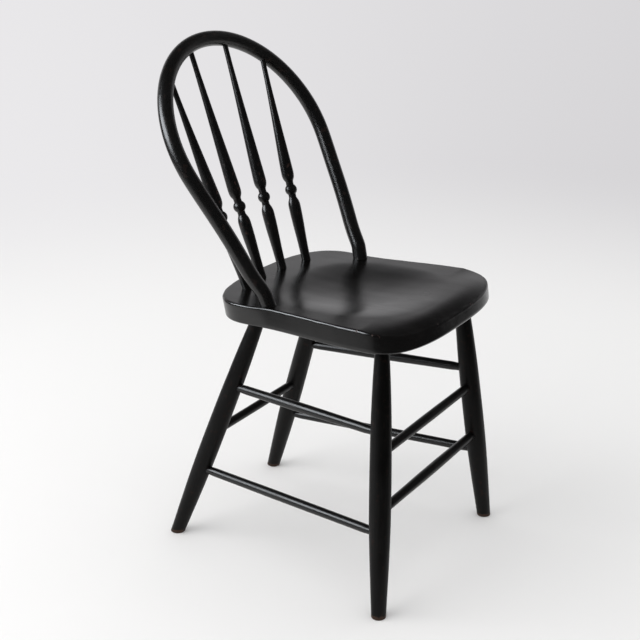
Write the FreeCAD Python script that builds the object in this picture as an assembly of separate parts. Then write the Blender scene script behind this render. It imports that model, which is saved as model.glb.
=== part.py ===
import FreeCAD, Part
import math
import os

from FreeCAD import Placement, Rotation, Vector

# Hoop-back Windsor side chair, in millimetres.
# +Z is up, the sitter faces -Y and the sitter's left hand is on +X.
# Every piece is a separate solid, glued into the holes that are bored for it.

# Glue joints: each tenon has this much less radius than its hole, and ends this far above its bottom.
GLUE_LINE = 0.15
HOLE_BOTTOM_GAP = 0.5

# Seat plank. Its own frame lies flat on the underside, and the front edge is tipped up.
SEAT_UNDERSIDE_HEIGHT = 409.3
SEAT_THICKNESS = 32.5
SEAT_TIP_UP = 1.46
SEAT_FRONT = -239.0
SEAT_BACK = 130.3
SEAT_WIDEST_AT = -162.4
SEAT_HALF_WIDTH_FRONT = 163.4
SEAT_WAIST_AT = 0.0
SEAT_WAIST_DRAWN_IN = 14.2
SEAT_BACK_CURVE_FROM = 44.0
SEAT_BACK_DRAWN_IN = 9.7
# Corner squareness: 2 is an ellipse, and larger is squarer.
SEAT_FRONT_SQUARENESS = 2.84
SEAT_BACK_SQUARENESS = 2.64
# Down to the underside, the front and sides spread by the flare and the back draws in by the undercut.
SEAT_FLARE = 1.8
SEAT_BACK_UNDERCUT = 3.0
SEAT_TOP_ROUNDING = 1.6
SEAT_BOTTOM_ROUNDING = 4.0

# The waist and the back are as wide as the front, less what they are drawn in by.
SEAT_HALF_WIDTH_WAIST = SEAT_HALF_WIDTH_FRONT - SEAT_WAIST_DRAWN_IN
SEAT_HALF_WIDTH_BACK = SEAT_HALF_WIDTH_FRONT - SEAT_BACK_DRAWN_IN

# Scooped top: one hollow, and a front edge that rolls over.
HOLLOW_DEPTH = 8.0
HOLLOW_CENTRE = -70.0
HOLLOW_HALF_WIDTH = 128.0
HOLLOW_HALF_LENGTH = 132.0
HOLLOW_SQUARENESS = 2.4
FRONT_ROLL_LENGTH = 50.0
FRONT_ROLL_DROP = 10.7

# How finely the seat is drawn: points round a quarter of its outline, and points along its top.
OUTLINE_STEPS = 6
SEAT_TOP_STEPS = 24
SEAT_TOP_MARGIN = 12.0

# Legs. Each stands at a place on the seat's underside, set in from its side, and splays out to its foot.
LEG_FRONT_INSET = 39.1
LEG_FRONT_AT = (SEAT_HALF_WIDTH_FRONT - LEG_FRONT_INSET, -177.0)
LEG_FRONT_SPLAY = (56.2, -30.7)
LEG_REAR_INSET = 64.7
LEG_REAR_AT = (SEAT_HALF_WIDTH_BACK - LEG_REAR_INSET, 59.8)
LEG_REAR_SPLAY = (53.1, 147.9)
LEG_FOOT_RADIUS = 11.4
LEG_FRONT_BELLY_RADIUS = 16.5
LEG_REAR_BELLY_RADIUS = 16.0
LEG_BELLY_UP = 185.0
LEG_TENON_RADIUS = 11.0
LEG_TENON_DEPTH = 22.5
LEG_NECK_LENGTH = 8.0
LEG_FOOT_ROUNDING = 1.2
# How long each end of a smooth turned stretch stays close to its radius.
LEG_LOWER_EASE = (20.0, 90.0)
LEG_UPPER_EASE = (170.0, 22.0)

# Stretchers, by the height at which each axis meets the leg's axis.
SIDE_UPPER_HEIGHTS = (283.7, 276.9)
SIDE_LOWER_HEIGHTS = (130.5, 124.6)
FRONT_UPPER_HEIGHT = 252.3
FRONT_LOWER_HEIGHT = 163.3
REAR_HEIGHT = 193.4
STRETCHER_TENON_RADIUS = 6.4
STRETCHER_TENON_PAST_AXIS = 5.0
STRETCHER_END_RADIUS = 7.1
STRETCHER_CHEEK_LENGTH = 14.0
STRETCHER_EASE = 0.45
SIDE_UPPER_RADIUS = 7.7
SIDE_LOWER_RADIUS = 7.4
FRONT_UPPER_RADIUS = 7.5
FRONT_LOWER_RADIUS = 7.9
REAR_RADIUS = 7.2

# Bow, by its centreline: two flared sides that carry half an ellipse. Heights are above the seat top.
BOW_RADIUS = 11.8
BOW_FOOT_INSET = 15.3
BOW_FOOT_AT = (SEAT_HALF_WIDTH_WAIST - BOW_FOOT_INSET, 14.2)
BOW_BEND_OUT = 2.5
BOW_BEND_BACK = 4.3
BOW_BEND_AT = (BOW_FOOT_AT[0] + BOW_BEND_OUT, BOW_FOOT_AT[1] + BOW_BEND_BACK)
BOW_BEND_HEIGHT = 15.5
BOW_BEND_LENGTH = 14.0
BOW_STRAIGHT_HALF_WIDTH = 170.7
BOW_STRAIGHT_HEIGHT = 156.7
BOW_HALF_WIDTH = 181.0
BOW_WIDEST_HEIGHT = 214.3
BOW_HEIGHT = 360.0
BOW_LEAN = 30.0
BOW_HOLLOW = 3.7
BOW_ARCH_STEPS = 4

# Wedge driven up into the slotted foot of the bow from under the seat.
WEDGE_LENGTH = 20.0
WEDGE_THICK_END = 3.0
WEDGE_THIN_END = 0.8

# Spindles, by their places on the seat top and their half spread at the bow's centreline.
SPINDLE_OUTER_AT = (83.6, 88.6)
SPINDLE_OUTER_AT_BOW = 119.5
SPINDLE_INNER_AT = (28.7, 99.9)
SPINDLE_INNER_AT_BOW = 44.0
SPINDLE_FOOT_RADIUS = 7.4
SPINDLE_TENON_DEPTH = 22.0
SPINDLE_FOOT_NECK = 6.0
SPINDLE_VASE_RADIUS = 10.0
SPINDLE_VASE_UP = 88.9
SPINDLE_NECK_RADIUS = 6.2
SPINDLE_BEAD_RADIUS = 9.9
SPINDLE_BEAD_UP = 117.9
SPINDLE_NECK_FROM_BEAD = 12.0
SPINDLE_BELLY_RADIUS = 10.2
SPINDLE_BELLY_UP = 145.9
SPINDLE_TIP_RADIUS = 4.1
SPINDLE_TIP_LENGTH = 24.0
SPINDLE_PAST_BOW_AXIS = 3.0
VASE_EASE = (30.0, 30.0)
SHOULDER_EASE = (12.0, 4.0)
TAPER_EASE = (20.0, 55.0)

# A bend whose direction changes by less than this, in radians, is a straight line.
STRAIGHT_ENOUGH = 1e-4

MIDDLE_PLANE = Vector(1, 0, 0)
seat_place = Placement(Vector(0, 0, SEAT_UNDERSIDE_HEIGHT), Rotation(MIDDLE_PLANE, -SEAT_TIP_UP))


def mirrored(shape):
    """The same piece on the sitter's other side."""
    return shape.mirror(Vector(0, 0, 0), MIDDLE_PLANE)


def on_underside(place):
    """A point on the seat's underside, from its place on the plank."""
    return seat_place.multVec(Vector(place[0], place[1], 0))


def on_top(place):
    """A point on the flat of the seat's top, from its place on the plank."""
    return seat_place.multVec(Vector(place[0], place[1], SEAT_THICKNESS))


def rod(start, end, radius):
    """A round rod between two points, which also bores the hole for one."""
    return Part.makeCylinder(radius, (end - start).Length, start, end - start)


def along(start, end, distance):
    """The point at a distance from start towards end."""
    return start + (end - start).normalize() * distance


def tangent_arc(start, direction, end):
    """The circular arc that leaves start in a direction and reaches end."""
    chord = (end - start).normalize()
    sideways = direction - chord * direction.dot(chord)
    if sideways.Length < STRAIGHT_ENOUGH:
        return Part.LineSegment(start, end).toShape()
    turn = math.acos(direction.dot(chord))
    rise = 0.5 * (end - start).Length * math.tan(0.5 * turn)
    middle = (start + end) * 0.5 + sideways.normalize() * rise
    return Part.Arc(start, middle, end).toShape()


def arc_pair(start, start_direction, end, end_direction):
    """Two circular arcs that meet smoothly, and join two points in given directions."""
    run = end - start
    bend = 2.0 * (1.0 - start_direction.dot(end_direction))
    both = run.dot(start_direction + end_direction)
    reach = run.dot(run) / (both + math.sqrt(both * both + bend * run.dot(run)))
    meeting = (start + end + (start_direction - end_direction) * reach) * 0.5
    return [tangent_arc(start, start_direction, meeting), tangent_arc(end, -end_direction, meeting)]


def turned(profile, start, end):
    """A lathe-turned piece: a profile of radius and distance, spun about the line from start to end."""
    first = profile[0].Vertexes[0].Point
    last = profile[-1].Vertexes[-1].Point
    ends = (Vector(0, 0, first.z), Vector(0, 0, last.z))
    edges = [Part.LineSegment(ends[0], first).toShape()] + profile
    edges += [Part.LineSegment(last, ends[1]).toShape(), Part.LineSegment(ends[1], ends[0]).toShape()]
    face = Part.Face(Part.Wire(edges))
    solid = face.revolve(Vector(0, 0, 0), Vector(0, 0, 1), 360)
    solid.Placement = Placement(start, Rotation(Vector(0, 0, 1), end - start))
    return solid


def straight_cut(start, end):
    """A straight stretch of a turned profile. Points are (distance, radius)."""
    return Part.LineSegment(Vector(start[1], 0, start[0]), Vector(end[1], 0, end[0])).toShape()


def swell(start, end, ease_out, ease_in):
    """A smooth stretch of a turned profile that runs level with the axis at both ends."""
    curve = Part.BezierCurve()
    curve.setPoles([
        Vector(start[1], 0, start[0]),
        Vector(start[1], 0, start[0] + ease_out),
        Vector(end[1], 0, end[0] - ease_in),
        Vector(end[1], 0, end[0]),
    ])
    return curve.toShape()


def front_roll(x, y):
    """The share of the front roll's whole drop, which is reached at the middle of the front edge."""
    length = SEAT_WIDEST_AT - SEAT_FRONT
    forward = max(0.0, SEAT_WIDEST_AT - y) / length
    across = abs(x) / SEAT_HALF_WIDTH_FRONT
    power = SEAT_FRONT_SQUARENESS
    # This is 1 along the whole curved front edge, and shrinks evenly towards the middle of the seat.
    ring = (across ** power + forward ** power) ** (1.0 / power)
    into_roll = max(0.0, 1.0 - (1.0 - ring) * length / FRONT_ROLL_LENGTH)
    return forward * into_roll ** 2


def seat_top_drop(x, y):
    """How far the scooped top lies below the flat of the plank."""
    across = abs(x / HOLLOW_HALF_WIDTH) ** HOLLOW_SQUARENESS
    lengthwise = abs((y - HOLLOW_CENTRE) / HOLLOW_HALF_LENGTH) ** HOLLOW_SQUARENESS
    hollow = HOLLOW_DEPTH * max(0.0, 1.0 - across - lengthwise) ** 2
    return hollow + FRONT_ROLL_DROP * front_roll(x, y)


def quarter_curve(half_width, from_y, to_y, squareness):
    """Corner points from the side to the middle of an end, on a squared ellipse."""
    points = []
    for step in range(OUTLINE_STEPS + 1):
        turn = 0.5 * math.pi * step / OUTLINE_STEPS
        x = half_width * math.cos(turn) ** (2.0 / squareness)
        y = from_y + (to_y - from_y) * math.sin(turn) ** (2.0 / squareness)
        points.append(Vector(x, y, 0))
    return points


def seat_outline(height):
    """The closed outline of the plank at one height, from its front middle round by the sitter's left."""
    below_top = 1.0 - height / SEAT_THICKNESS
    flare = SEAT_FLARE * below_top
    undercut = SEAT_BACK_UNDERCUT * below_top
    wide = SEAT_HALF_WIDTH_FRONT + flare
    front = quarter_curve(wide, SEAT_WIDEST_AT, SEAT_FRONT - flare, SEAT_FRONT_SQUARENESS)
    waist = Vector(SEAT_HALF_WIDTH_WAIST + flare, SEAT_WAIST_AT, 0)
    narrow = SEAT_HALF_WIDTH_BACK - undercut
    back = quarter_curve(narrow, SEAT_BACK_CURVE_FROM, SEAT_BACK - undercut, SEAT_BACK_SQUARENESS)
    half = front[::-1] + [waist] + back
    other_half = [Vector(-p.x, p.y, 0) for p in reversed(half[1:-1])]
    curve = Part.BSplineCurve()
    curve.interpolate(Points=half + other_half, PeriodicFlag=True)
    return Part.Wire([curve.toShape().translated(Vector(0, 0, height))])


def scooped_top():
    """The seat's top surface, a little larger than the seat."""
    half_width = SEAT_HALF_WIDTH_FRONT + SEAT_TOP_MARGIN
    front = SEAT_FRONT - SEAT_TOP_MARGIN
    back = SEAT_BACK + SEAT_TOP_MARGIN
    rows = []
    for i in range(SEAT_TOP_STEPS + 1):
        x = half_width * (2.0 * i / SEAT_TOP_STEPS - 1.0)
        row = []
        for j in range(SEAT_TOP_STEPS + 1):
            y = front + (back - front) * j / SEAT_TOP_STEPS
            row.append(Vector(x, y, SEAT_THICKNESS - seat_top_drop(x, y)))
        rows.append(row)
    surface = Part.BSplineSurface()
    surface.interpolate(rows)
    return surface.toShape()


def make_seat_plank():
    """The shaped plank, before any hole is bored in it."""
    blank_height = 2 * SEAT_THICKNESS
    blank = Part.makeLoft([seat_outline(0.0), seat_outline(blank_height)], True, True)
    bottom = min(blank.Faces, key=lambda face: face.CenterOfMass.z)
    blank = blank.makeFillet(SEAT_BOTTOM_ROUNDING, bottom.OuterWire.Edges)
    plank = blank.cut(scooped_top().extrude(Vector(0, 0, blank_height)))
    top = max(plank.Faces, key=lambda face: face.CenterOfMass.z)
    return plank.makeFillet(SEAT_TOP_ROUNDING, top.OuterWire.Edges)


def bow_centreline():
    """The bow's bent centreline on the sitter's left, from its bend up to the top of the arch."""
    foot_y = on_top(BOW_BEND_AT).y
    base_z = on_top(BOW_FOOT_AT).z
    rise = BOW_HEIGHT - BOW_BEND_HEIGHT

    def at(half_width, height):
        share = (height - BOW_BEND_HEIGHT) / rise
        back = (height - BOW_BEND_HEIGHT) * math.tan(math.radians(BOW_LEAN))
        return Vector(half_width, foot_y + back - BOW_HOLLOW * 4 * share * (1 - share), base_z + height)

    bend = at(BOW_BEND_AT[0], BOW_BEND_HEIGHT)
    straight_top = at(BOW_STRAIGHT_HALF_WIDTH, BOW_STRAIGHT_HEIGHT)
    half_up = 0.5 * (BOW_BEND_HEIGHT + BOW_STRAIGHT_HEIGHT)
    middle = at(0.5 * (BOW_BEND_AT[0] + BOW_STRAIGHT_HALF_WIDTH), half_up)
    points = [bend, along(bend, middle, BOW_BEND_LENGTH), middle, straight_top]
    for step in range(BOW_ARCH_STEPS + 1):
        turn = 0.5 * math.pi * step / BOW_ARCH_STEPS
        height = BOW_WIDEST_HEIGHT + (BOW_HEIGHT - BOW_WIDEST_HEIGHT) * math.sin(turn)
        points.append(at(BOW_HALF_WIDTH * math.cos(turn), height))
    return points


bow_foot = on_top(BOW_FOOT_AT)
half_points = bow_centreline()
foot_direction = (half_points[0] - bow_foot).normalize()
hoop_points = half_points + [Vector(-p.x, p.y, p.z) for p in reversed(half_points[:-1])]
hoop = Part.BSplineCurve()
hoop.interpolate(
    Points=hoop_points,
    InitialTangent=foot_direction,
    FinalTangent=Vector(foot_direction.x, -foot_direction.y, -foot_direction.z),
)


def point_on_bow(half_width):
    """The point of the bow's centreline, in the arch, at a distance from the middle plane."""
    share = math.sqrt(1 - (half_width / BOW_HALF_WIDTH) ** 2)
    height = BOW_WIDEST_HEIGHT + (BOW_HEIGHT - BOW_WIDEST_HEIGHT) * share
    back = (height - BOW_BEND_HEIGHT) * math.tan(math.radians(BOW_LEAN))
    guess = Vector(half_width, half_points[0].y + back, bow_foot.z + height)
    return hoop.value(hoop.parameter(guess))


def leg_line(place, splay):
    """The axis of a leg on the sitter's left, from its foot on the floor to the seat's underside."""
    return Vector(place[0] + splay[0], place[1] + splay[1], 0), on_underside(place)


def on_leg(line, height):
    """The point of a leg's axis at a height above the floor."""
    return line[0] + (line[1] - line[0]) * (height / line[1].z)


def make_leg(line, belly_radius):
    """A leg that swells from its foot to its belly, tapers to its tenon and is sawn level at the floor."""
    length = (line[1] - line[0]).Length
    neck = length - LEG_NECK_LENGTH
    saw_spare = 2 * LEG_FOOT_RADIUS
    profile = [
        straight_cut((-saw_spare, LEG_FOOT_RADIUS), (0, LEG_FOOT_RADIUS)),
        swell((0, LEG_FOOT_RADIUS), (LEG_BELLY_UP, belly_radius), *LEG_LOWER_EASE),
        swell((LEG_BELLY_UP, belly_radius), (neck, LEG_TENON_RADIUS), *LEG_UPPER_EASE),
        straight_cut((neck, LEG_TENON_RADIUS), (length + LEG_TENON_DEPTH, LEG_TENON_RADIUS)),
    ]
    leg = turned(profile, line[0], line[1])
    floor_width = 2 * saw_spare
    below = Part.makeBox(2 * floor_width, 2 * floor_width, floor_width)
    below.translate(line[0] - Vector(floor_width, floor_width, floor_width))
    leg = leg.cut(below)
    sole = min(leg.Faces, key=lambda face: face.CenterOfMass.z)
    return leg.makeFillet(LEG_FOOT_ROUNDING, sole.OuterWire.Edges)


def stretcher_tips(start, end):
    """The two tips of a stretcher, which run a little past the axes of the legs it joins."""
    outwards = (end - start).normalize() * STRETCHER_TENON_PAST_AXIS
    return start - outwards, end + outwards


def make_stretcher(start, end, middle_radius):
    """A stretcher between two points on the legs' axes: it thickens from its tenons towards its middle."""
    tips = stretcher_tips(start, end)
    length = (tips[1] - tips[0]).Length
    inside = STRETCHER_TENON_PAST_AXIS + LEG_FRONT_BELLY_RADIUS
    half = [
        (inside, STRETCHER_TENON_RADIUS),
        (inside + STRETCHER_CHEEK_LENGTH, STRETCHER_END_RADIUS),
        (0.5 * length, middle_radius),
    ]
    other_half = [(length - distance, radius) for distance, radius in reversed(half[:-1])]
    stations = half + other_half
    profile = [straight_cut((0, STRETCHER_TENON_RADIUS), stations[0])]
    for a, b in zip(stations, stations[1:]):
        ease = STRETCHER_EASE * (b[0] - a[0])
        profile.append(swell(a, b, ease, ease))
    profile.append(straight_cut(stations[-1], (length, STRETCHER_TENON_RADIUS)))
    return turned(profile, tips[0], tips[1])


def spindle_line(place, half_width_at_bow):
    """The axis of a spindle on the sitter's left, from the seat top to the bow's centreline."""
    return on_top(place), point_on_bow(half_width_at_bow)


def make_spindle(line):
    """A spindle with a vase, a bead and a belly, which then tapers to its tip inside the bow."""
    length = (line[1] - line[0]).Length
    foot_end = (SPINDLE_FOOT_NECK, SPINDLE_FOOT_RADIUS)
    vase = (SPINDLE_VASE_UP, SPINDLE_VASE_RADIUS)
    neck_below = (SPINDLE_BEAD_UP - SPINDLE_NECK_FROM_BEAD, SPINDLE_NECK_RADIUS)
    neck_above = (SPINDLE_BEAD_UP + SPINDLE_NECK_FROM_BEAD, SPINDLE_NECK_RADIUS)
    bead_half = math.sqrt(SPINDLE_BEAD_RADIUS ** 2 - SPINDLE_NECK_RADIUS ** 2)
    bead_start = (SPINDLE_BEAD_UP - bead_half, SPINDLE_NECK_RADIUS)
    bead_end = (SPINDLE_BEAD_UP + bead_half, SPINDLE_NECK_RADIUS)
    belly = (SPINDLE_BELLY_UP, SPINDLE_BELLY_RADIUS)
    taper_end = (length - SPINDLE_TIP_LENGTH, SPINDLE_TIP_RADIUS)
    bead = Part.Arc(
        Vector(bead_start[1], 0, bead_start[0]),
        Vector(SPINDLE_BEAD_RADIUS, 0, SPINDLE_BEAD_UP),
        Vector(bead_end[1], 0, bead_end[0]),
    )
    profile = [
        straight_cut((-SPINDLE_TENON_DEPTH, SPINDLE_FOOT_RADIUS), foot_end),
        swell(foot_end, vase, *VASE_EASE),
        swell(vase, neck_below, *SHOULDER_EASE),
        straight_cut(neck_below, bead_start),
        bead.toShape(),
        straight_cut(bead_end, neck_above),
        swell(neck_above, belly, *SHOULDER_EASE[::-1]),
        swell(belly, taper_end, *TAPER_EASE),
        straight_cut(taper_end, (length + SPINDLE_PAST_BOW_AXIS, SPINDLE_TIP_RADIUS)),
    ]
    return turned(profile, line[0], line[1])


def under_seat():
    """Everything below the seat's underside, for sawing a tenon level with it."""
    reach = 2 * SEAT_HALF_WIDTH_FRONT
    block = Part.makeBox(2 * reach, 2 * reach, reach)
    block.translate(Vector(-reach, -reach, -reach))
    block.Placement = seat_place * block.Placement
    return block


def wedge(clearance=0.0):
    """A wedge for the bow's left foot, thick end down at the seat's underside, or its slot."""
    thick = 0.5 * WEDGE_THICK_END + clearance
    thin = 0.5 * WEDGE_THIN_END + clearance
    top = WEDGE_LENGTH + clearance
    corners = [Vector(-thick, 0, 0), Vector(thick, 0, 0), Vector(thin, 0, top), Vector(-thin, 0, top)]
    width = 2 * BOW_RADIUS
    solid = Part.Face(Part.makePolygon(corners + corners[:1])).extrude(Vector(0, width, 0))
    solid.translate(Vector(0, -0.5 * width, 0))
    up = seat_place.Rotation.multVec(Vector(0, 0, 1))
    thick_end = bow_foot - foot_direction * (SEAT_THICKNESS / foot_direction.dot(up))
    solid.Placement = Placement(thick_end, Rotation(Vector(0, 0, 1), foot_direction)) * solid.Placement
    return solid


def make_bow(spindle_lines):
    """The bow: bent round, sawn level under the seat, slotted for its wedges and bored for the spindles."""
    far_end = bow_foot - foot_direction * (2 * SEAT_THICKNESS)
    mirrored_end = Vector(-far_end.x, far_end.y, far_end.z)
    path = [Part.LineSegment(far_end, hoop_points[0]).toShape()]
    directions = [hoop.tangent(hoop.parameter(point))[0] for point in hoop_points]
    for i in range(len(hoop_points) - 1):
        path += arc_pair(hoop_points[i], directions[i], hoop_points[i + 1], directions[i + 1])
    path.append(Part.LineSegment(hoop_points[-1], mirrored_end).toShape())
    section = Part.Wire(Part.makeCircle(BOW_RADIUS, far_end, foot_direction))
    bow = Part.Wire(Part.__sortEdges__(path)).makePipeShell([section], True, False)
    tools = [under_seat(), wedge(GLUE_LINE), mirrored(wedge(GLUE_LINE))]
    for line in spindle_lines:
        tip = line[1] + (line[1] - line[0]).normalize() * (SPINDLE_PAST_BOW_AXIS + HOLE_BOTTOM_GAP)
        hole = rod(along(line[1], line[0], 2 * BOW_RADIUS), tip, SPINDLE_TIP_RADIUS + GLUE_LINE)
        tools += [hole, mirrored(hole)]
    return bow.cut(tools)


def make_wedge():
    """The wedge, as wide as the foot it is driven into and sawn level with the seat's underside."""
    foot = rod(bow_foot - foot_direction * (2 * SEAT_THICKNESS), bow_foot, BOW_RADIUS)
    return wedge().common(foot).cut(under_seat())


def stretcher_holes(start, end):
    """The holes for both tenons of a stretcher."""
    tips = stretcher_tips(start, end)
    outwards = (end - start).normalize()
    radius = STRETCHER_TENON_RADIUS + GLUE_LINE
    reach = 2 * LEG_FRONT_BELLY_RADIUS
    first = rod(tips[0] - outwards * HOLE_BOTTOM_GAP, start + outwards * reach, radius)
    second = rod(tips[1] + outwards * HOLE_BOTTOM_GAP, end - outwards * reach, radius)
    return [first, second]


def leg_hole(line):
    """The blind hole in the seat for a leg's tenon."""
    bottom = along(line[1], line[0], -LEG_TENON_DEPTH - HOLE_BOTTOM_GAP)
    return rod(along(line[1], line[0], SEAT_THICKNESS), bottom, LEG_TENON_RADIUS + GLUE_LINE)


def spindle_hole(line):
    """The blind hole in the seat for a spindle's foot."""
    bottom = along(line[0], line[1], -SPINDLE_TENON_DEPTH - HOLE_BOTTOM_GAP)
    return rod(along(line[0], line[1], SEAT_THICKNESS), bottom, SPINDLE_FOOT_RADIUS + GLUE_LINE)


def bow_hole():
    """The hole right through the seat for a foot of the bow."""
    reach = foot_direction * (2 * SEAT_THICKNESS)
    return rod(bow_foot - reach, bow_foot + reach, BOW_RADIUS + GLUE_LINE)


def make_seat(legs, spindles):
    """The finished seat, tipped up at the front and bored for all that is glued into it."""
    plank = make_seat_plank()
    plank.Placement = seat_place
    holes = [leg_hole(line) for line in legs] + [spindle_hole(line) for line in spindles] + [bow_hole()]
    return plank.cut(holes + [mirrored(hole) for hole in holes])


front_leg = leg_line(LEG_FRONT_AT, LEG_FRONT_SPLAY)
rear_leg = leg_line(LEG_REAR_AT, LEG_REAR_SPLAY)
outer_spindle = spindle_line(SPINDLE_OUTER_AT, SPINDLE_OUTER_AT_BOW)
inner_spindle = spindle_line(SPINDLE_INNER_AT, SPINDLE_INNER_AT_BOW)


def side_stretcher_line(heights):
    """The axis of a side stretcher on the sitter's left, from the front leg to the rear leg."""
    return on_leg(front_leg, heights[0]), on_leg(rear_leg, heights[1])


def cross_stretcher_line(leg, height):
    """The axis of a stretcher that joins a leg to its mirrored twin."""
    left = on_leg(leg, height)
    return left, Vector(-left.x, left.y, left.z)


side_upper = side_stretcher_line(SIDE_UPPER_HEIGHTS)
side_lower = side_stretcher_line(SIDE_LOWER_HEIGHTS)
front_upper = cross_stretcher_line(front_leg, FRONT_UPPER_HEIGHT)
front_lower = cross_stretcher_line(front_leg, FRONT_LOWER_HEIGHT)
rear = cross_stretcher_line(rear_leg, REAR_HEIGHT)

side_holes = stretcher_holes(*side_upper) + stretcher_holes(*side_lower)
front_holes = stretcher_holes(*front_upper) + stretcher_holes(*front_lower)
rear_holes = stretcher_holes(*rear)

pieces = {
    "seat": make_seat((front_leg, rear_leg), (outer_spindle, inner_spindle)),
    "bow": make_bow((outer_spindle, inner_spindle)),
    "stretcher_front_upper": make_stretcher(*front_upper, FRONT_UPPER_RADIUS),
    "stretcher_front_lower": make_stretcher(*front_lower, FRONT_LOWER_RADIUS),
    "stretcher_rear": make_stretcher(*rear, REAR_RADIUS),
}
pairs = {
    "bow_wedge": make_wedge(),
    "spindle_outer": make_spindle(outer_spindle),
    "spindle_inner": make_spindle(inner_spindle),
    "leg_front": make_leg(front_leg, LEG_FRONT_BELLY_RADIUS).cut(side_holes + front_holes),
    "leg_rear": make_leg(rear_leg, LEG_REAR_BELLY_RADIUS).cut(side_holes + rear_holes),
    "stretcher_side_upper": make_stretcher(*side_upper, SIDE_UPPER_RADIUS),
    "stretcher_side_lower": make_stretcher(*side_lower, SIDE_LOWER_RADIUS),
}
for name, shape in pairs.items():
    pieces[name + "_left"] = shape
    pieces[name + "_right"] = mirrored(shape)

# The chair is moved so that the middle of its depth stands over the origin.
box = Part.makeCompound(list(pieces.values())).optimalBoundingBox(False, False)
to_middle = Vector(0, -0.5 * (box.YMin + box.YMax), 0)
print("size", round(box.XLength, 1), round(box.YLength, 1), round(box.ZLength, 1), "moved", to_middle)

os.makedirs("parts", exist_ok=True)
for name, shape in pieces.items():
    placed = shape.translated(to_middle)
    solids = placed.Solids
    print(name, "solids", len(solids), "valid", placed.isValid(), "volume", round(placed.Volume))
    solids[0].exportStep("parts/" + name + ".step")
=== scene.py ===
# %% [markdown]
# Hoop-back Windsor side chair, painted black.
# The chair's solids come in as a fixed frame, already at their real size and place, in metres.
# This lesson gives them their looks: a scooped seat drawn as a smooth surface, old satin paint on turned and
# bent wood, a pale studio, soft light and a camera.

# %% Load the frame
import math

import bpy
import numpy as np
from mathutils import Matrix, Vector


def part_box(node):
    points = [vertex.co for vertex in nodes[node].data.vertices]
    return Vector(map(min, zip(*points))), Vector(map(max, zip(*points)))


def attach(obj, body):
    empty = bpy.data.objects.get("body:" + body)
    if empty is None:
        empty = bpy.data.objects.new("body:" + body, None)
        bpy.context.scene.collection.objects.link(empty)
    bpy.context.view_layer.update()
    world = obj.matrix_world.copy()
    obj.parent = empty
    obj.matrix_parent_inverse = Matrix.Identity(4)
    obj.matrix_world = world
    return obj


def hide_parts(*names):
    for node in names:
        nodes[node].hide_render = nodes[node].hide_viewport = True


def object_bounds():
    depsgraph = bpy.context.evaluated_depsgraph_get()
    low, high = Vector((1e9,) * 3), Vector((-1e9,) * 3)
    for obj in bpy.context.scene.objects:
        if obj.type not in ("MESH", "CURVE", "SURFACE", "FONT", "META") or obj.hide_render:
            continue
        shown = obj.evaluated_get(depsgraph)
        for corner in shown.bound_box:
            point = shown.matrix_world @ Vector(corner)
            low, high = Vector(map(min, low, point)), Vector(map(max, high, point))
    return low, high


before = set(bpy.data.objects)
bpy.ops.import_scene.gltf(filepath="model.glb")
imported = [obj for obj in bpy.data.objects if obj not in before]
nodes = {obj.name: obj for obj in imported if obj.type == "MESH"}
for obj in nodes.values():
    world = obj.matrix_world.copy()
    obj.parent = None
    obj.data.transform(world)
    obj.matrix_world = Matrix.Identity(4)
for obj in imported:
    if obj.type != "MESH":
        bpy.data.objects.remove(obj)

cad_low, cad_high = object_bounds()
print("pieces", len(nodes), "box", [round(v, 4) for v in (cad_high - cad_low)])

# %% [markdown]
# The camera stands where the photographer stood: in front of the sitter's right side, looking down at the seat.
# A camera can be placed by hand, or worked out from the picture. Here the direction of view is given by its
# turn round the chair, its height above the horizon and a small tilt, so each can be read and changed alone.

# %% Camera
CAMERA_PLACE = Vector((-1.55333, -0.99053, 1.08158))
CAMERA_TURN = math.radians(-57.10)
CAMERA_HEIGHT_ANGLE = math.radians(20.915)
CAMERA_TILT = math.radians(-0.502)
CAMERA_LENS = 69.80


def make_camera():
    """Builds the camera. Its back points away from the view, its right is level and then tilted a little."""
    across = math.cos(CAMERA_HEIGHT_ANGLE)
    back = Vector((math.sin(CAMERA_TURN) * across, -math.cos(CAMERA_TURN) * across, math.sin(CAMERA_HEIGHT_ANGLE)))
    level = Vector((math.cos(CAMERA_TURN), math.sin(CAMERA_TURN), 0.0))
    upright = back.cross(level)
    right = level * math.cos(CAMERA_TILT) + upright * math.sin(CAMERA_TILT)
    up = back.cross(right)
    data = bpy.data.cameras.new("camera")
    data.lens = CAMERA_LENS
    camera = bpy.data.objects.new("camera", data)
    turn = Matrix((right, up, back)).transposed().to_4x4()
    camera.matrix_world = Matrix.Translation(CAMERA_PLACE) @ turn
    bpy.context.scene.collection.objects.link(camera)
    bpy.context.scene.camera = camera
    return camera


camera = make_camera()
bpy.context.scene.view_settings.view_transform = "Standard"
print("camera", [round(v, 3) for v in camera.location], "lens", camera.data.lens)

# %% [markdown]
# Every finish below is a small tree of shader nodes. Wiring each node by hand takes many lines, so a few helpers
# come first: one adds a node and feeds its sockets, and the others are the sums and patterns used again and again.

# %% Helpers for shader nodes


def new_tree(owner):
    """Switches a material or a world to nodes and returns its empty tree."""
    owner.use_nodes = True
    owner.node_tree.nodes.clear()
    return owner.node_tree


def add(tree, kind, inputs, **settings):
    """Adds a node. Each named socket takes a number, a colour or the output of another node."""
    made = tree.nodes.new("ShaderNode" + kind)
    for name, value in settings.items():
        setattr(made, name, value)
    for name, value in inputs.items():
        if isinstance(value, bpy.types.NodeSocket):
            tree.links.new(value, made.inputs[name])
        else:
            made.inputs[name].default_value = value
    return made


def maths(tree, operation, a, b=0.0):
    """One sum of two numbers."""
    return add(tree, "Math", {0: a, 1: b}, operation=operation).outputs[0]


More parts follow.
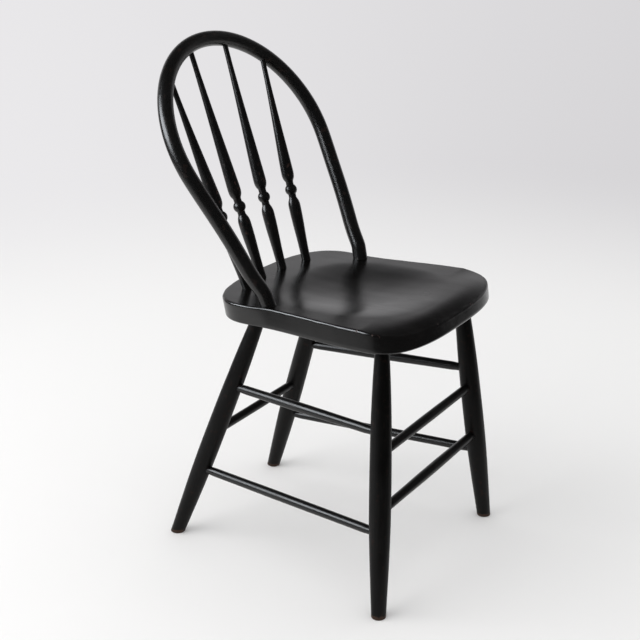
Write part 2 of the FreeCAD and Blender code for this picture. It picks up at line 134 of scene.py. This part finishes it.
def fade(tree, value, start, end, first=0.0, last=1.0):
    """Turns a value smoothly from first to last while it goes from start to end."""
    inputs = {"Value": value, "From Min": start, "From Max": end, "To Min": first, "To Max": last}
    return add(tree, "MapRange", inputs, interpolation_type="SMOOTHSTEP").outputs[0]


def blend(tree, share, first, second):
    """Mixes two colours by a share from 0 to 1."""
    return add(tree, "Mix", {0: share, 6: first, 7: second}, data_type="RGBA").outputs[2]


def stretched(tree, place, factors):
    """Squeezes the pattern's space, so that a small factor draws the pattern out along that axis."""
    return add(tree, "Mapping", {"Vector": place, "Scale": factors}).outputs[0]


def noise(tree, place, scale, detail=2.0):
    """A soft random pattern from 0 to 1, with this many lumps to the metre."""
    return add(tree, "TexNoise", {"Vector": place, "Scale": scale, "Detail": detail}).outputs[0]


def along_way(tree, place, direction):
    """How far a point lies in a direction."""
    return add(tree, "VectorMath", {0: place, 1: direction}, operation="DOT_PRODUCT").outputs["Value"]


# %% [markdown]
# The studio is a pale floor that runs on into a pale backdrop. The floor near the chair is lit as any surface
# is, so it keeps the soft shadows. Far away it turns into a plain glow of its own, which stands for the wall, with
# painted shade that darkens it towards one side.
# Black paint shows little but its surroundings. In the picture only the wall behind the chair is bright in it,
# and the rest of the studio is dark, so mirror-like rays find the floor dark in front and far out to the sides.

# %% Floor
FLOOR_COLOUR = (0.865, 0.862, 0.860, 1.0)
# WALL_BRIGHT and WALL_DIM are the two ends of a painted shade across the backdrop, standing in for light falling off
WALL_BRIGHT = (0.83, 0.82, 0.835, 1.0)
WALL_DIM = (0.675, 0.665, 0.68, 1.0)
WALL_DIMS_TOWARDS = (0.543, -0.84, 0.0)
WALL_DIMS_OVER = (-0.5, 0.5)
ROOM_COLOUR = (0.045, 0.045, 0.047, 1.0)
FLOOR_RADIUS = 14.0
WALL_STARTS = 1.0
WALL_REACHED = 2.7
FAR_SIDE = (0.84, 0.543, 0.0)
FAR_WIDTH = (0.40, 0.80)
DARK_SIDE = (-0.3, -0.954, 0.0)
DARK_STARTS = 0.28
DARK_REACHED = 0.68
DARK_BESIDE = (1.3, 2.1)


def wall_colour(tree, direction):
    """The backdrop's colour, with painted shade: it dims from one side of the studio to the other."""
    dimmed = fade(tree, along_way(tree, direction, WALL_DIMS_TOWARDS), *WALL_DIMS_OVER)
    return blend(tree, dimmed, WALL_BRIGHT, WALL_DIM)


def floor_material():
    """Diffuse near the chair, a glow further out, and a dark room for mirror rays in front and to the sides."""
    material = bpy.data.materials.new("studio_floor")
    tree = new_tree(material)
    place = add(tree, "TexCoord", {}).outputs["Object"]
    apart = add(tree, "VectorMath", {0: place}, operation="LENGTH").outputs["Value"]
    direction = add(tree, "VectorMath", {0: place}, operation="NORMALIZE").outputs[0]
    near = add(tree, "BsdfDiffuse", {"Color": FLOOR_COLOUR}).outputs[0]
    glow = add(tree, "Emission", {"Color": wall_colour(tree, direction)}).outputs[0]
    pale = add(tree, "MixShader", {0: fade(tree, apart, WALL_STARTS, WALL_REACHED), 1: near, 2: glow}).outputs[0]
    mirrored = add(tree, "LightPath", {}).outputs["Is Glossy Ray"]
    in_front = fade(tree, along_way(tree, place, DARK_SIDE), DARK_STARTS, DARK_REACHED)
    off_wall = fade(tree, along_way(tree, direction, FAR_SIDE), *FAR_WIDTH, 1.0, 0.0)
    beside = maths(tree, "MULTIPLY", off_wall, fade(tree, apart, *DARK_BESIDE))
    darkness = maths(tree, "MAXIMUM", in_front, beside)
    room = add(tree, "Emission", {"Color": ROOM_COLOUR}).outputs[0]
    share = maths(tree, "MULTIPLY", mirrored, darkness)
    both = add(tree, "MixShader", {0: share, 1: pale, 2: room}).outputs[0]
    add(tree, "OutputMaterial", {"Surface": both})
    return material


def mesh_object(name, points, faces, material):
    """Makes an object at the origin from whole arrays of points and a list of faces."""
    mesh = bpy.data.meshes.new(name)
    mesh.from_pydata(points.tolist(), [], faces)
    mesh.materials.append(material)
    piece = bpy.data.objects.new(name, mesh)
    bpy.context.scene.collection.objects.link(piece)
    return piece


corners = FLOOR_RADIUS * np.array([(-1, -1, 0), (1, -1, 0), (1, 1, 0), (-1, 1, 0)], float)
floor = mesh_object("floor", corners, [(0, 1, 2, 3)], floor_material())

# %% [markdown]
# Light comes from one large soft lamp on the left, a little behind the chair, and from the pale room all round.
# The paint mirrors the lamp as a thin bright line along the seat's near edge, a broad one along the stretchers
# and a soft one on the bow's shoulder. Those lines are brighter in the picture than the shadows on the floor
# would allow, so the lamp is made of two: one lights matt surfaces, and the one before it only shines in gloss.

# %% Light
WORLD_LIGHT = (1.55, 0.75)
WORLD_DIMS_UP_TO = 0.8
CEILING_STARTS = 0.14
CEILING_REACHED = 0.58
KEY_FROM = Vector((-0.63, 0.50, 0.59))
KEY_DISTANCE = 2.6
KEY_SIZE = (2.2, 2.2)
KEY_POWER = 30.0
KEY_COLOUR = (1.0, 0.99, 0.985)
SHEEN_FROM = Vector((-0.68, 0.60, 0.43))
SHEEN_DISTANCE = 2.4
SHEEN_SIZE = (2.0, 1.15)
SHEEN_POWER = 84.0
SHEEN_COLOUR = (0.91, 0.95, 1.0)


def light_world():
    """Soft light for matt surfaces, strongest from low down, the wall for the camera, a graded room for gloss."""
    world = bpy.data.worlds.new("studio")
    bpy.context.scene.world = world
    tree = new_tree(world)
    ray = add(tree, "LightPath", {})
    direction = add(tree, "TexCoord", {}).outputs["Generated"]
    up = add(tree, "SeparateXYZ", {0: direction}).outputs["Z"]
    behind = fade(tree, along_way(tree, direction, FAR_SIDE), *FAR_WIDTH)
    low = fade(tree, up, CEILING_STARTS, CEILING_REACHED, 1.0, 0.0)
    wall_share = maths(tree, "MULTIPLY", behind, low)
    pale = wall_colour(tree, direction)
    graded = add(tree, "Background", {"Color": blend(tree, wall_share, ROOM_COLOUR, pale)}).outputs[0]
    strength = fade(tree, up, 0.0, WORLD_DIMS_UP_TO, *WORLD_LIGHT)
    even = add(tree, "Background", {"Color": (1.0, 1.0, 1.0, 1.0), "Strength": strength}).outputs[0]
    wall = add(tree, "Background", {"Color": pale}).outputs[0]
    lit = add(tree, "MixShader", {0: ray.outputs["Is Glossy Ray"], 1: even, 2: graded}).outputs[0]
    seen = add(tree, "MixShader", {0: ray.outputs["Is Camera Ray"], 1: lit, 2: wall}).outputs[0]
    add(tree, "OutputWorld", {"Surface": seen})


def softbox(name, direction, distance, size, power, colour):
    """A flat lamp, of a width and a height, that looks at the seat. The camera itself doesn't see it."""
    target = Vector((0.0, 0.0, 0.5 * cad_high.z))
    data = bpy.data.lights.new(name, "AREA")
    data.shape = "RECTANGLE"
    data.size, data.size_y = size
    data.energy = power
    data.color = colour
    lamp = bpy.data.objects.new(name, data)
    lamp.location = target + direction.normalized() * distance
    lamp.rotation_mode = "QUATERNION"
    lamp.rotation_quaternion = direction.to_track_quat("Z", "Y")
    lamp.visible_camera = False
    bpy.context.scene.collection.objects.link(lamp)
    return lamp


light_world()
softbox("key", KEY_FROM, KEY_DISTANCE, KEY_SIZE, KEY_POWER, KEY_COLOUR).visible_glossy = False
sheen = softbox("sheen", SHEEN_FROM, SHEEN_DISTANCE, SHEEN_SIZE, SHEEN_POWER, SHEEN_COLOUR)
sheen.visible_diffuse = False

# %% [markdown]
# The seat is one plank of hardwood, sawn to a rounded outline with a slight waist, hollowed for the sitter and
# rolled over at the front. Sitting and cleaning have rounded its upper edge unevenly. It could be sculpted, but
# its shape is a few simple formulas, so it is drawn as rings: each ring is the outline, drawn in towards the
# middle and dropped by the depth of the hollow. The values are the plank's real sizes.

# %% Seat outline
SEAT_THICKNESS = 0.0325
SEAT_TIP_UP = math.radians(1.46)
SEAT_FRONT = -0.2390
SEAT_BACK = 0.1303
SEAT_WIDEST_AT = -0.1624
SEAT_WAIST_AT = 0.0
SEAT_BACK_CURVE_FROM = 0.0440
SEAT_HALF_WIDTHS = (0.1634, 0.1492, 0.1537)
SEAT_SQUARENESS = (2.84, 2.64)
SEAT_FLARE = 0.0018
SEAT_UNDERCUT = 0.0030
WAIST_SLOPE = -0.05
ROUND_POINTS = 480
FINE_POINTS = 400


def corner(half_width, start, end, squareness):
    """A quarter of a squared ellipse: x = half_width cos^p t, y from start to end with sin^p t, p = 2 / squareness."""
    t = np.linspace(0.0, 0.5 * np.pi, FINE_POINTS)
    power = 2.0 / squareness
    return np.stack([half_width * np.cos(t) ** power, start + (end - start) * np.sin(t) ** power], axis=1)


def side(x0, x1, y0, y1, slope0, slope1):
    """A cubic from (x0, y0) to (x1, y1) with given slopes: s runs from 0 to 1 in the four Hermite blends."""
    s = np.linspace(0.0, 1.0, FINE_POINTS)[1:-1]
    bends = (s ** 3 - 2 * s ** 2 + s) * slope0 + (s ** 3 - s ** 2) * slope1
    x = x0 + (x1 - x0) * (3 * s ** 2 - 2 * s ** 3) + (y1 - y0) * bends
    return np.stack([x, y0 + (y1 - y0) * s], axis=1)


def outline(flare, undercut):
    """The closed outline from the front middle round by the sitter's left, as points an equal way apart."""
    front_wide, waist, back_wide = SEAT_HALF_WIDTHS
    front_wide, waist, back_wide = front_wide + flare, waist + flare, back_wide - undercut
    half = np.concatenate([
        corner(front_wide, SEAT_WIDEST_AT, SEAT_FRONT - flare, SEAT_SQUARENESS[0])[::-1],
        side(front_wide, waist, SEAT_WIDEST_AT, SEAT_WAIST_AT, 0.0, WAIST_SLOPE),
        side(waist, back_wide, SEAT_WAIST_AT, SEAT_BACK_CURVE_FROM, WAIST_SLOPE, 0.0),
        corner(back_wide, SEAT_BACK_CURVE_FROM, SEAT_BACK - undercut, SEAT_SQUARENESS[1]),
    ])
    closed = np.concatenate([half, half[-2::-1] * (-1.0, 1.0)])
    way = np.concatenate([[0.0], np.cumsum(np.linalg.norm(np.diff(closed, axis=0), axis=1))])
    even = np.linspace(0.0, way[-1], ROUND_POINTS, endpoint=False)
    return np.stack([np.interp(even, way, closed[:, 0]), np.interp(even, way, closed[:, 1])], axis=1)


def drawn_in(ring, distance):
    """Moves a closed ring of points inwards, square to itself, by a distance that may differ from point to point."""
    along = np.roll(ring, -1, axis=0) - np.roll(ring, 1, axis=0)
    along /= np.linalg.norm(along, axis=1, keepdims=True)
    inwards = np.stack([-along[:, 1], along[:, 0]], axis=1)
    return ring + inwards * np.reshape(distance, (-1, 1))


top_outline = outline(0.0, 0.0)
bottom_outline = outline(SEAT_FLARE, SEAT_UNDERCUT)
print("seat outline", top_outline.min(axis=0).round(4), top_outline.max(axis=0).round(4))

# %% Hollow, front roll and hand-made unevenness
HOLLOW_DEPTH = 0.0080
HOLLOW_CENTRE = -0.0700
HOLLOW_REACH = (0.1280, 0.1320)
HOLLOW_SQUARENESS = 2.4
FRONT_ROLL_LENGTH = 0.0340
FRONT_ROLL_DROP = 0.0107
SCRAPER_MARKS = 0.00005
SCRAPER_WAVES = (12, 0.03, 0.09)
MARKS_STOP_AT_EDGE = 8
random = np.random.default_rng(7)


def waves(x, y, count, shortest, longest):
    """Gentle unevenness: a sum of plane waves with random directions, lengths and starts, from about -1 to 1."""
    total = np.zeros_like(x)
    for _ in range(count):
        turn, start, share = random.uniform(0.0, 2.0 * np.pi, 3)
        length = shortest + (longest - shortest) * share / (2.0 * np.pi)
        total += np.sin(2.0 * np.pi * (x * math.cos(turn) + y * math.sin(turn)) / length + start)
    return total / math.sqrt(count)


def hollow_share(x, y):
    """1 in the middle of the hollow and 0 at its rim: (1 - |x/a|^q - |y/b|^q)^2."""
    across = np.abs(x / HOLLOW_REACH[0]) ** HOLLOW_SQUARENESS
    lengthwise = np.abs((y - HOLLOW_CENTRE) / HOLLOW_REACH[1]) ** HOLLOW_SQUARENESS
    return np.maximum(0.0, 1.0 - across - lengthwise) ** 2


def front_roll_share(x, y):
    """How far the front edge has rolled over. The ring value is 1 all along the curved front edge."""
    length = SEAT_WIDEST_AT - SEAT_FRONT
    forward = np.maximum(0.0, SEAT_WIDEST_AT - y) / length
    power = SEAT_SQUARENESS[0]
    ring = (np.abs(x / SEAT_HALF_WIDTHS[0]) ** power + forward ** power) ** (1.0 / power)
    return forward * np.maximum(0.0, 1.0 - (1.0 - ring) * length / FRONT_ROLL_LENGTH) ** 2


def top_height(ring):
    """Height of the scooped top above the underside, without the marks of the scraper."""
    x, y = ring[:, 0], ring[:, 1]
    return SEAT_THICKNESS - HOLLOW_DEPTH * hollow_share(x, y) - FRONT_ROLL_DROP * front_roll_share(x, y)


# %% Seat surface
TOP_ROUNDING = 0.0026
ROUNDING_DOWN = 1.5
BOTTOM_ROUNDING = 0.0040
EDGE_DENTS = 0.0005
EDGE_WAVES = (9, 0.015, 0.060)
WEAR_NARROWNESS = 30.0
WEAR_DOWN_THE_SIDE = 2.5
WEAR_AT_THE_BOTTOM = 0.4
TOP_RINGS = 64
ROUNDING_RINGS = 8
SIDE_RINGS = 6
BOTTOM_RINGS = 10
POLE_SHARE = 0.004


def with_height(ring, height):
    """Joins a flat ring and its heights into points."""
    return np.column_stack([ring, np.broadcast_to(height, len(ring))])


def seat_rings():
    """Rings from the middle of the top, out over the worn upper edge, down the side and in along the underside."""
    middle = np.array([0.0, 0.5 * (SEAT_FRONT + SEAT_BACK)])
    worn = waves(top_outline[:, 0], top_outline[:, 1], *EDGE_WAVES)
    rounding = TOP_ROUNDING + EDGE_DENTS * np.clip(worn, -1.0, 1.5)
    inner_edge = drawn_in(top_outline, rounding)
    marks_seed = random.bit_generator.state
    rings, wear = [], []
    for share in np.linspace(POLE_SHARE, 1.0, TOP_RINGS):
        ring = middle + share * (inner_edge - middle)
        random.bit_generator.state = marks_seed
        marks = SCRAPER_MARKS * waves(ring[:, 0], ring[:, 1], *SCRAPER_WAVES) * (1.0 - share ** MARKS_STOP_AT_EDGE)
        rings.append(with_height(ring, top_height(ring) + marks))
        wear.append(np.full(ROUND_POINTS, max(0.0, 1.0 - (1.0 - share) * WEAR_NARROWNESS) * 0.5))
    edge_height = top_height(inner_edge)
    for turn in np.linspace(0.0, 0.5 * np.pi, ROUNDING_RINGS + 1)[1:]:
        ring = drawn_in(top_outline, rounding * (1.0 - math.sin(turn)))
        rings.append(with_height(ring, edge_height - ROUNDING_DOWN * rounding * (1.0 - math.cos(turn))))
        wear.append(np.full(ROUND_POINTS, 0.5 + 0.5 * math.sin(2.0 * turn)))
    side_top = edge_height - ROUNDING_DOWN * rounding
    for share in np.linspace(0.0, 1.0, SIDE_RINGS + 1)[1:]:
        ring = top_outline + share * (bottom_outline - top_outline)
        rings.append(with_height(ring, side_top + share * (BOTTOM_ROUNDING - side_top)))
        wear.append(np.full(ROUND_POINTS, max(0.0, 0.5 - WEAR_DOWN_THE_SIDE * share)))
    for turn in np.linspace(0.0, 0.5 * np.pi, ROUNDING_RINGS + 1)[1:]:
        ring = drawn_in(bottom_outline, BOTTOM_ROUNDING * (1.0 - math.cos(turn)))
        rings.append(with_height(ring, BOTTOM_ROUNDING * (1.0 - math.sin(turn))))
        wear.append(np.full(ROUND_POINTS, WEAR_AT_THE_BOTTOM * math.sin(2.0 * turn)))
    inside = rings[-1][:, :2]
    for share in np.linspace(1.0, POLE_SHARE, BOTTOM_RINGS + 1)[1:]:
        rings.append(with_height(middle + share * (inside - middle), 0.0))
        wear.append(np.zeros(ROUND_POINTS))
    return np.array(rings), np.array(wear)


def ring_faces(ring_count, round_count):
    """Quads between neighbouring rings, and a fan of triangles at each end of the stack."""
    step = np.arange(round_count)
    after = (step + 1) % round_count
    faces = []
    for ring in range(ring_count - 1):
        low, high = ring * round_count, (ring + 1) * round_count
        faces += np.stack([low + step, high + step, high + after, low + after], axis=1).tolist()
    first_pole, last_pole = ring_count * round_count, ring_count * round_count + 1
    last = (ring_count - 1) * round_count
    faces += [[first_pole, a, b] for a, b in zip(step.tolist(), after.tolist())]
    faces += [[last_pole, last + b, last + a] for a, b in zip(step.tolist(), after.tolist())]
    return faces


def make_seat(material):
    """The seat's surface, tipped up at the front and set where the frame has the seat."""
    rings, wear = seat_rings()
    points = np.concatenate([rings.reshape(-1, 3), [rings[0].mean(axis=0)], [rings[-1].mean(axis=0)]])
    tip = np.array(Matrix.Rotation(-SEAT_TIP_UP, 3, "X"))
    points = points @ tip.T
    low, high = (np.array(corner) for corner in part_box("seat"))
    own_low, own_high = points.min(axis=0), points.max(axis=0)
    shrink = np.minimum(1.0, (high - low) / (own_high - own_low))
    points = 0.5 * (low + high) + (points - 0.5 * (own_low + own_high)) * shrink
    seat = mesh_object("seat_surface", points, ring_faces(len(rings), ROUND_POINTS), material)
    worn = seat.data.attributes.new("wear", "FLOAT", "POINT")
    worn.data.foreach_set("value", np.concatenate([wear.ravel(), [0.0, 0.0]]))
    seat.data.polygons.foreach_set("use_smooth", np.ones(len(seat.data.polygons), bool))
    print("seat", len(points), "points, box differs by", np.abs(points.min(axis=0) - low).max().round(5))
    return seat


# %% [markdown]
# The paint is many old coats of black, brushed on and rubbed by use. Real paint of this kind is not one even
# black: it is thinner and browner on edges, dustier on flats, and its gloss changes from patch to patch.
# One function makes this paint for every piece. It works in the piece's own space, with z along the grain, so
# that brush strokes and grain run the length of each turned, bent or sawn piece.

# %% Old black paint
PAINT_DEEP = (0.0016, 0.0014, 0.0013, 1.0)
PAINT_DUSTY = (0.0048, 0.0044, 0.0040, 1.0)
UNDERCOAT = (0.052, 0.017, 0.010, 1.0)
BARE_WOOD = (0.032, 0.018, 0.012, 1.0)
LENGTHWISE = (1.0, 1.0, 0.035)
SHORT_STROKES = (1.0, 1.0, 0.12)
GRAIN_HEIGHT = 0.000014
STROKE_HEIGHT = 0.000040
PEEL_HEIGHT = 0.000010
GRAIN_NOISE = (700.0, 3.0)
STROKE_NOISE = (170.0, 2.0)
PATCH_NOISE = (16.0, 3.0)
PEEL_NOISE = (420.0, 2.0)
STROKE_ROUGHNESS = 0.05
RUBBED_ROUGHNESS = 0.5
MILLIMETRE = 0.001


def paint_body(tree, grain_place, rubbed, gloss, shine, relief_share):
    """Adds the paint: colour from dust and wear, roughness from patches, and relief from grain and brush."""
    grain = noise(tree, stretched(tree, grain_place, LENGTHWISE), *GRAIN_NOISE)
    strokes = noise(tree, stretched(tree, grain_place, SHORT_STROKES), *STROKE_NOISE)
    patches = noise(tree, grain_place, *PATCH_NOISE)
    peel = noise(tree, grain_place, *PEEL_NOISE)
    dust = maths(tree, "MULTIPLY", fade(tree, patches, 0.35, 0.70), fade(tree, grain, 0.35, 0.75))
    colour = blend(tree, dust, PAINT_DEEP, PAINT_DUSTY)
    colour = blend(tree, rubbed, colour, UNDERCOAT)
    rough = fade(tree, patches, 0.3, 0.7, gloss[0], gloss[1])
    rough = maths(tree, "ADD", rough, fade(tree, strokes, 0.3, 0.8, 0.0, STROKE_ROUGHNESS))
    rough = maths(tree, "ADD", rough, maths(tree, "MULTIPLY", rubbed, RUBBED_ROUGHNESS))
    heights = [(grain, GRAIN_HEIGHT), (strokes, STROKE_HEIGHT), (peel, PEEL_HEIGHT)]
    relief = 0.0
    for pattern, height in heights:
        relief = maths(tree, "ADD", maths(tree, "MULTIPLY", pattern, height * relief_share / MILLIMETRE), relief)
    bump = add(tree, "Bump", {"Strength": 1.0, "Distance": MILLIMETRE, "Height": relief}).outputs[0]
    inputs = {"Base Color": colour, "Roughness": rough, "Normal": bump, "Specular IOR Level": shine}
    return add(tree, "BsdfPrincipled", inputs)


def finished(tree, body):
    """Ends a material with its surface."""
    add(tree, "OutputMaterial", {"Surface": body.outputs[0]})


SEAT_GLOSS = (0.17, 0.23)
SEAT_SHINE = 0.5
SEAT_RELIEF = 0.3
SEAT_CHIP_NOISE = (90.0, 3.0)
SEAT_CHIPS = (0.60, 0.68)
SEAT_WORN = (0.55, 0.95)
RUBBED_SHARE = 0.5


def seat_paint():
    """The seat's paint: grain from front to back, and undercoat showing in patches along the worn upper edge."""
    material = bpy.data.materials.new("seat_paint")
    tree = new_tree(material)
    place = add(tree, "TexCoord", {}).outputs["Object"]
    turned = add(tree, "Mapping", {"Vector": place, "Rotation": (0.5 * math.pi, 0.0, 0.0)}).outputs[0]
    worn = add(tree, "Attribute", {}, attribute_name="wear").outputs["Fac"]
    chips = fade(tree, noise(tree, place, *SEAT_CHIP_NOISE), *SEAT_CHIPS)
    rubbed = maths(tree, "MULTIPLY", fade(tree, worn, *SEAT_WORN), chips)
    rubbed = maths(tree, "MULTIPLY", rubbed, RUBBED_SHARE)
    finished(tree, paint_body(tree, turned, rubbed, SEAT_GLOSS, SEAT_SHINE, SEAT_RELIEF))
    return material


seat = make_seat(seat_paint())
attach(seat, "root")
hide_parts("seat")

# %% [markdown]
# Legs, stretchers and spindles were turned on a lathe, so their grain runs along their own axes. The frame does
# not name the axes, but a turned piece spreads most along its length, and the spread of its points gives the
# direction. A Mapping node then brings that axis upright for the paint.

# %% Turned pieces
TURNED_RELIEF = 0.2
TURNED_CHIP_NOISE = (120.0, 3.0)
CHIPS = (0.58, 0.70)
FAINT_CHIPS = 0.12
HIGH_BAND = 0.0009
FOOT_NOISE = (220.0, 3.0)
FOOT_HEIGHTS = (0.001, 0.012)
FOOT_BARE = (0.95, 1.15)


def own_axis(piece):
    """The middle of a turned piece and its axis: the direction in which its points spread most."""
    points = np.empty(3 * len(piece.data.vertices), np.float32)
    piece.data.vertices.foreach_get("co", points)
    points = points.reshape(-1, 3).astype(float)
    middle = points.mean(axis=0)
    axis = np.linalg.eigh(np.cov((points - middle).T))[1][:, 2]
    return Vector(middle), Vector(axis if axis[2] >= 0.0 else -axis)


def turned_paint(piece, gloss, shine, high_radius=None, foot=False):
    """Paint for one turned piece. It is rubbed where the piece is thickest, and chipped at a foot."""
    middle, axis = own_axis(piece)
    material = bpy.data.materials.new(piece.name + "_paint")
    tree = new_tree(material)
    place = add(tree, "TexCoord", {}).outputs["Object"]
    upright = axis.to_track_quat("Z", "Y").to_euler()
    inputs = {"Vector": place, "Location": middle, "Rotation": upright}
    own = add(tree, "Mapping", inputs, vector_type="TEXTURE").outputs[0]
    chips = fade(tree, noise(tree, own, *TURNED_CHIP_NOISE), *CHIPS)
    rubbed = maths(tree, "MULTIPLY", chips, FAINT_CHIPS)
    if high_radius is not None:
        around = add(tree, "VectorMath", {0: own, 1: (1.0, 1.0, 0.0)}, operation="MULTIPLY").outputs[0]
        radius = add(tree, "VectorMath", {0: around}, operation="LENGTH").outputs["Value"]
        high = maths(tree, "MULTIPLY", fade(tree, radius, high_radius - HIGH_BAND, high_radius), chips)
        rubbed = maths(tree, "MAXIMUM", rubbed, maths(tree, "MULTIPLY", high, RUBBED_SHARE))
    body = paint_body(tree, own, rubbed, gloss, shine, TURNED_RELIEF)
    if foot:
        low = fade(tree, add(tree, "SeparateXYZ", {0: place}).outputs["Z"], *FOOT_HEIGHTS, 1.0, 0.0)
        bare = fade(tree, maths(tree, "ADD", low, noise(tree, place, *FOOT_NOISE)), *FOOT_BARE)
        colour = body.inputs["Base Color"].links[0].from_socket
        tree.links.new(blend(tree, bare, colour, BARE_WOOD), body.inputs["Base Color"])
    finished(tree, body)
    piece.material_slots[0].material = material


LEG_GLOSS = (0.34, 0.46)
LEG_SHINE = 0.13
STRETCHER_GLOSS = (0.26, 0.34)
STRETCHER_SHINE = 0.40
CROSS_SHINE = 0.25
SPINDLE_GLOSS = (0.26, 0.33)
SPINDLE_SHINE = 0.40
BEAD_RADIUS = 0.0099

for name, piece in nodes.items():
    if name.startswith("leg"):
        turned_paint(piece, LEG_GLOSS, LEG_SHINE, foot=True)
    elif name.startswith("stretcher"):
        turned_paint(piece, STRETCHER_GLOSS, STRETCHER_SHINE if "side" in name else CROSS_SHINE)
    elif name.startswith("spindle"):
        turned_paint(piece, SPINDLE_GLOSS, SPINDLE_SHINE, high_radius=BEAD_RADIUS)
    elif name.startswith("bow_wedge"):
        turned_paint(piece, LEG_GLOSS, LEG_SHINE)

# %% [markdown]
# The bow is one straight stick, steamed and bent round a form, so its grain follows the bend. Straight patterns
# would cut across it at the crown. Its space is bent instead: above the widest height, the way round the arch
# takes the place of height, and below it height is kept.

# %% Bow
BOW_WIDEST_AT = 0.655
BOW_MEAN_RADIUS = 0.165
BOW_LEAN = math.radians(30.0)
BOW_GLOSS = (0.25, 0.30)
BOW_SHINE = 0.50
BOW_RELIEF = 0.02
BOW_CHIP_NOISE = (110.0, 3.0)


def bow_paint(piece):
    """Paint whose grain runs round the bow: (out from the arch, through it, round it)."""
    material = bpy.data.materials.new("bow_paint")
    tree = new_tree(material)
    place = add(tree, "TexCoord", {}).outputs["Object"]
    inputs = {"Vector": place, "Location": (0.0, 0.0, BOW_WIDEST_AT), "Rotation": (-BOW_LEAN, 0.0, 0.0)}
    leaning = add(tree, "Mapping", inputs, vector_type="TEXTURE").outputs[0]
    parts = add(tree, "SeparateXYZ", {0: leaning}).outputs
    out = maths(tree, "ABSOLUTE", parts["X"])
    above = maths(tree, "MAXIMUM", parts["Z"], 0.0)
    below = maths(tree, "MINIMUM", parts["Z"], 0.0)
    angle = maths(tree, "ARCTAN2", above, out)
    way = maths(tree, "ADD", maths(tree, "MULTIPLY", angle, BOW_MEAN_RADIUS), below)
    away = maths(tree, "SQRT", maths(tree, "ADD", maths(tree, "POWER", out, 2.0), maths(tree, "POWER", above, 2.0)))
    bent = add(tree, "CombineXYZ", {0: away, 1: parts["Y"], 2: way}).outputs[0]
    chips = fade(tree, noise(tree, bent, *BOW_CHIP_NOISE), *CHIPS)
    rubbed = maths(tree, "MULTIPLY", chips, FAINT_CHIPS)
    finished(tree, paint_body(tree, bent, rubbed, BOW_GLOSS, BOW_SHINE, BOW_RELIEF))
    piece.material_slots[0].material = material


bow_paint(nodes["bow"])

# %% Finish
bpy.context.view_layer.update()
